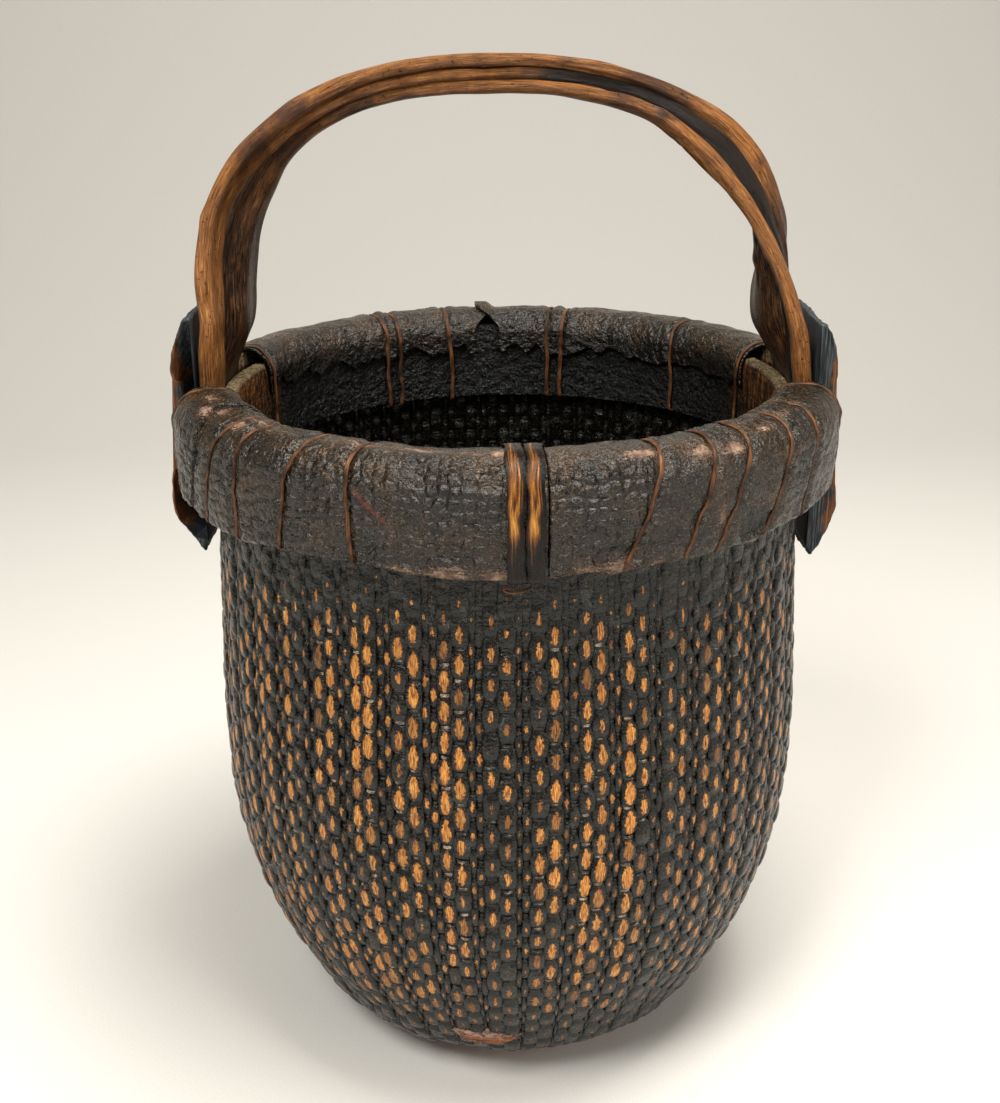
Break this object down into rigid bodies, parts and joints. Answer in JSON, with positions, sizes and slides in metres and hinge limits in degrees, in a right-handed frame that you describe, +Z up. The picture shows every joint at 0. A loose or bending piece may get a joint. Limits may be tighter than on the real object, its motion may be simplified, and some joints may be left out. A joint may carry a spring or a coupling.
{
  "type": "rice basket",
  "caption": "Deep round woven basket with a rolled, cane-laced rim and a fixed arched handle of twisted branches between carved side blocks.",
  "frame": {"origin": "on the ground, in the middle of the basket's bounding box", "axes": "+Z up through the handle's top; the handle arches along X; -Y is the front, with the cane straps; +X is the viewer's right"},
  "size_m": [0.383, 0.3825, 0.5801],
  "materials": {
    "woven_willow": "willow rods blackened by age and lacquer, bumps worn to golden brown, satin gloss",
    "base_wood": "split wood, bare and worn",
    "hoop_wood": "bent split wood, bare top edge, dull",
    "rim_cover": "dark pebbled bark- or hide-like sheet, creased and worn, semi-gloss",
    "split_cane": "wide split cane, golden with black stains, semi-gloss",
    "lacing_cane": "thin split cane, brown, dull",
    "handle_wood": "peeled branches polished by use, dark streaks, split inner faces",
    "block_wood": "carved hardwood, grey-black with worn orange-brown edges"
  },
  "bodies": {
    "root": {"woven_body": "woven_willow", "base_ring": "base_wood", "base_batten_long": "base_wood", "base_batten_cross": "base_wood", "inner_hoop": "hoop_wood", "outer_hoop_front": "hoop_wood", "outer_hoop_back": "hoop_wood", "cover_front_left": "rim_cover", "cover_front_right": "rim_cover", "cover_back_right": "rim_cover", "cover_back_left": "rim_cover", "cane_strap_left": "split_cane", "cane_strap_right": "split_cane", "lacing_01": "lacing_cane", "lacing_02": "lacing_cane", "lacing_03": "lacing_cane", "lacing_04": "lacing_cane", "lacing_05": "lacing_cane", "lacing_06": "lacing_cane", "lacing_07": "lacing_cane", "lacing_08": "lacing_cane", "lacing_09": "lacing_cane", "lacing_10": "lacing_cane", "lacing_11": "lacing_cane", "lacing_12": "lacing_cane", "lacing_13": "lacing_cane", "lacing_14": "lacing_cane", "lacing_15": "lacing_cane", "binding_front_left": "lacing_cane", "binding_front_right": "lacing_cane", "binding_back_right": "lacing_cane", "binding_back_left": "lacing_cane", "handle_branch_front": "handle_wood", "handle_branch_middle": "handle_wood", "handle_branch_back": "handle_wood", "side_block_left": "block_wood", "side_block_right": "block_wood", "peg_front_left": "hoop_wood", "peg_middle_left": "hoop_wood", "peg_back_left": "hoop_wood", "peg_front_right": "hoop_wood", "peg_middle_right": "hoop_wood", "peg_back_right": "hoop_wood"}
  },
  "joints": []
}
